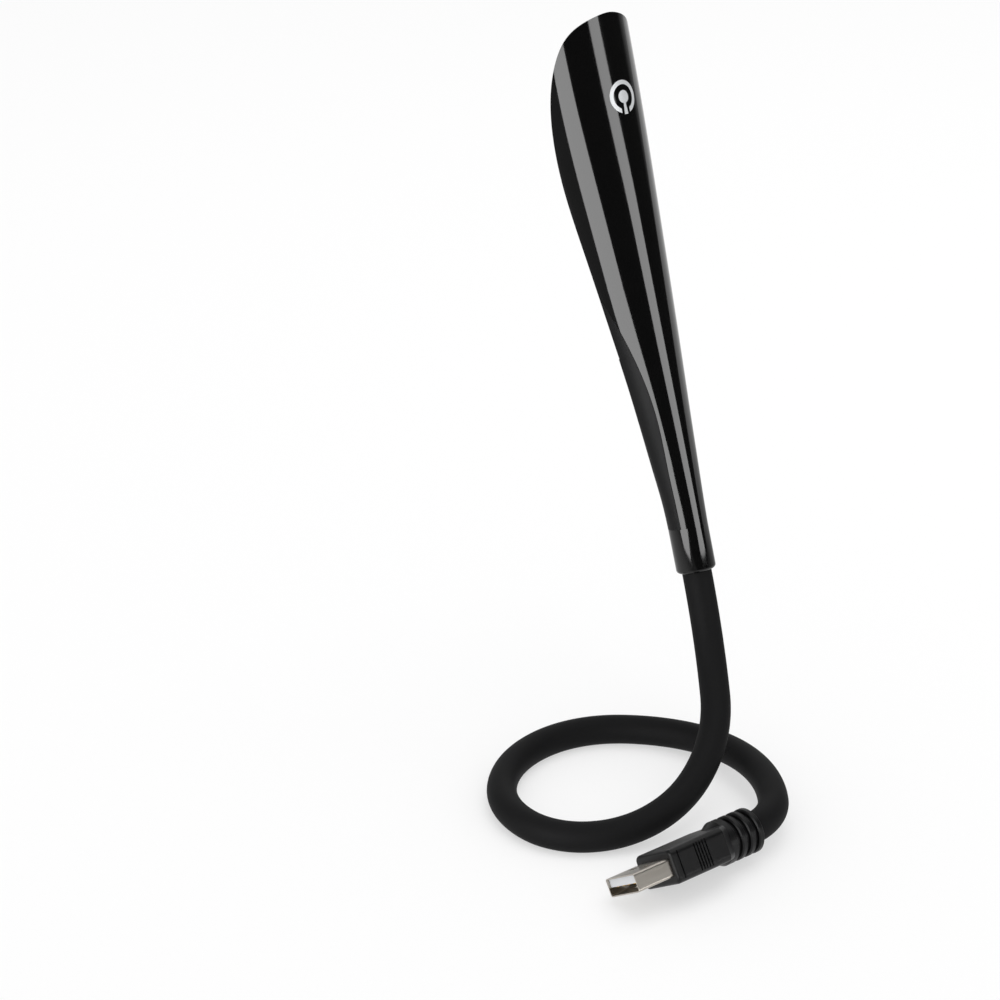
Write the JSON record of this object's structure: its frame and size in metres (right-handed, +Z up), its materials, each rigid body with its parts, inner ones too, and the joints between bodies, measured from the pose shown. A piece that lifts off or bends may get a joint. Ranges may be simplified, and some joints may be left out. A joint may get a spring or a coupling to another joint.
{
  "type": "gooseneck reading lamp",
  "caption": "USB reading lamp: a slim club-shaped light head with a touch mark on a bendable sleeved neck that coils into its own stand.",
  "frame": {"origin": "on the table, under the middle of the lamp's bounding box", "axes": "+Z up from the table; -Y towards the viewer of the picture, the plug's side; +X to that viewer's right"},
  "size_m": [0.0744, 0.1338, 0.1861],
  "materials": {
    "gloss_black": "polished moulding",
    "satin_black": "satin moulding",
    "opal_acrylic": "milky, smooth",
    "silver_inlay": "satin silver",
    "sleeve_rubber": "soft-touch matte",
    "wound_steel": "bright drawn",
    "lead_insulation": "extruded",
    "overmould_vinyl": "semi-matte moulding",
    "nickel_steel": "nickel plated, faintly brushed",
    "tongue_plastic": "white, moulded",
    "gold_plate": "gold plated",
    "crimped_brass": "crimped",
    "electrode_foam": "conductive foam",
    "board_laminate": "white solder mask",
    "diode_package": "phosphor in white resin",
    "chip_resin": "moulded"
  },
  "bodies": {
    "plug_end": {"plug_overmould": "overmould_vinyl", "usb_shell": "nickel_steel", "usb_tongue": "tongue_plastic", "usb_contacts": "gold_plate", "plug_ferrule": "crimped_brass", "neck_sleeve_00": "sleeve_rubber", "neck_hose_00": "wound_steel", "neck_leads_00": "lead_insulation"},
    "coil_1": {"neck_flex_01": "sleeve_rubber", "neck_sleeve_01": "sleeve_rubber", "neck_hose_01": "wound_steel", "neck_leads_01": "lead_insulation"},
    "coil_2": {"neck_flex_02": "sleeve_rubber", "neck_sleeve_02": "sleeve_rubber", "neck_hose_02": "wound_steel", "neck_leads_02": "lead_insulation"},
    "coil_3": {"neck_flex_03": "sleeve_rubber", "neck_sleeve_03": "sleeve_rubber", "neck_hose_03": "wound_steel", "neck_leads_03": "lead_insulation"},
    "coil_4": {"neck_flex_04": "sleeve_rubber", "neck_sleeve_04": "sleeve_rubber", "neck_hose_04": "wound_steel", "neck_leads_04": "lead_insulation"},
    "coil_5": {"neck_flex_05": "sleeve_rubber", "neck_sleeve_05": "sleeve_rubber", "neck_hose_05": "wound_steel", "neck_leads_05": "lead_insulation"},
    "coil_6": {"neck_flex_06": "sleeve_rubber", "neck_sleeve_06": "sleeve_rubber", "neck_hose_06": "wound_steel", "neck_leads_06": "lead_insulation"},
    "riser": {"neck_flex_07": "sleeve_rubber", "neck_sleeve_07": "sleeve_rubber", "neck_hose_07": "wound_steel", "neck_leads_07": "lead_insulation"},
    "upper": {"neck_flex_08": "sleeve_rubber", "neck_sleeve_08": "sleeve_rubber", "neck_hose_08": "wound_steel", "neck_leads_08": "lead_insulation"},
    "head": {"neck_flex_09": "sleeve_rubber", "neck_sleeve_09": "sleeve_rubber", "neck_hose_09": "wound_steel", "neck_leads_09": "lead_insulation", "head_ferrule": "crimped_brass", "head_leads": "lead_insulation", "back_shell": "gloss_black", "front_cover": "satin_black", "diffuser": "opal_acrylic", "touch_mark": "silver_inlay", "touch_electrode": "electrode_foam", "light_board": "board_laminate", "light_diodes": "diode_package", "dimmer_chip": "chip_resin", "resistors": "chip_resin"}
  },
  "joints": [
    {"name": "neck_uncoil", "type": "hinge", "parent": "plug_end", "child": "coil_1", "pos_m": [0.03339, -0.02099, 0.00696], "axis": [0.1581, -0.0055, -0.9874], "range_deg": [0, 45], "deforming": ["neck_flex_01"]},
    {"name": "neck_uncoil_2", "type": "hinge", "parent": "coil_1", "child": "coil_2", "pos_m": [0.01938, 0.01036, 0.00457], "axis": [-0.0065, -0.157, -0.9876], "range_deg": [0, 45], "deforming": ["neck_flex_02"]},
    {"name": "neck_uncoil_3", "type": "hinge", "parent": "coil_2", "child": "coil_3", "pos_m": [-0.00527, 0.0192, 0.0033], "axis": [0, 0, -1], "range_deg": [0, 45], "deforming": ["neck_flex_03"]},
    {"name": "neck_uncoil_4", "type": "hinge", "parent": "coil_3", "child": "coil_4", "pos_m": [-0.02522, 0.00946, 0.0033], "axis": [0, 0, -1], "range_deg": [0, 45], "deforming": ["neck_flex_04"]},
    {"name": "neck_uncoil_5", "type": "hinge", "parent": "coil_4", "child": "coil_5", "pos_m": [-0.03335, -0.01362, 0.0033], "axis": [0, 0, -1], "range_deg": [0, 45], "deforming": ["neck_flex_05"]},
    {"name": "neck_uncoil_6", "type": "hinge", "parent": "coil_5", "child": "coil_6", "pos_m": [-0.02461, -0.03062, 0.0033], "axis": [0, 0, -1], "range_deg": [0, 45], "deforming": ["neck_flex_06"]},
    {"name": "neck_swing", "type": "hinge", "parent": "coil_6", "child": "riser", "pos_m": [-0.01132, -0.03439, 0.00337], "axis": [-0.0467, -0.0019, 0.9989], "range_deg": [-12, 45], "deforming": ["neck_flex_07"]},
    {"name": "neck_nod", "type": "hinge", "parent": "riser", "child": "upper", "pos_m": [0.02044, 0.00125, 0.02593], "axis": [0.9691, -0.108, 0.2216], "range_deg": [-40, 55], "deforming": ["neck_flex_08"]},
    {"name": "neck_tilt", "type": "hinge", "parent": "upper", "child": "head", "pos_m": [0.01872, 0.0131, 0.03921], "axis": [-0.2035, -0.8578, 0.472], "range_deg": [-45, 45], "deforming": ["neck_flex_09"]}
  ],
  "couplings": [
    {"joint": "neck_uncoil_2", "follows": "neck_uncoil", "ratio": 1},
    {"joint": "neck_uncoil_3", "follows": "neck_uncoil", "ratio": 1},
    {"joint": "neck_uncoil_4", "follows": "neck_uncoil", "ratio": 1},
    {"joint": "neck_uncoil_5", "follows": "neck_uncoil", "ratio": 1},
    {"joint": "neck_uncoil_6", "follows": "neck_uncoil", "ratio": 1}
  ]
}
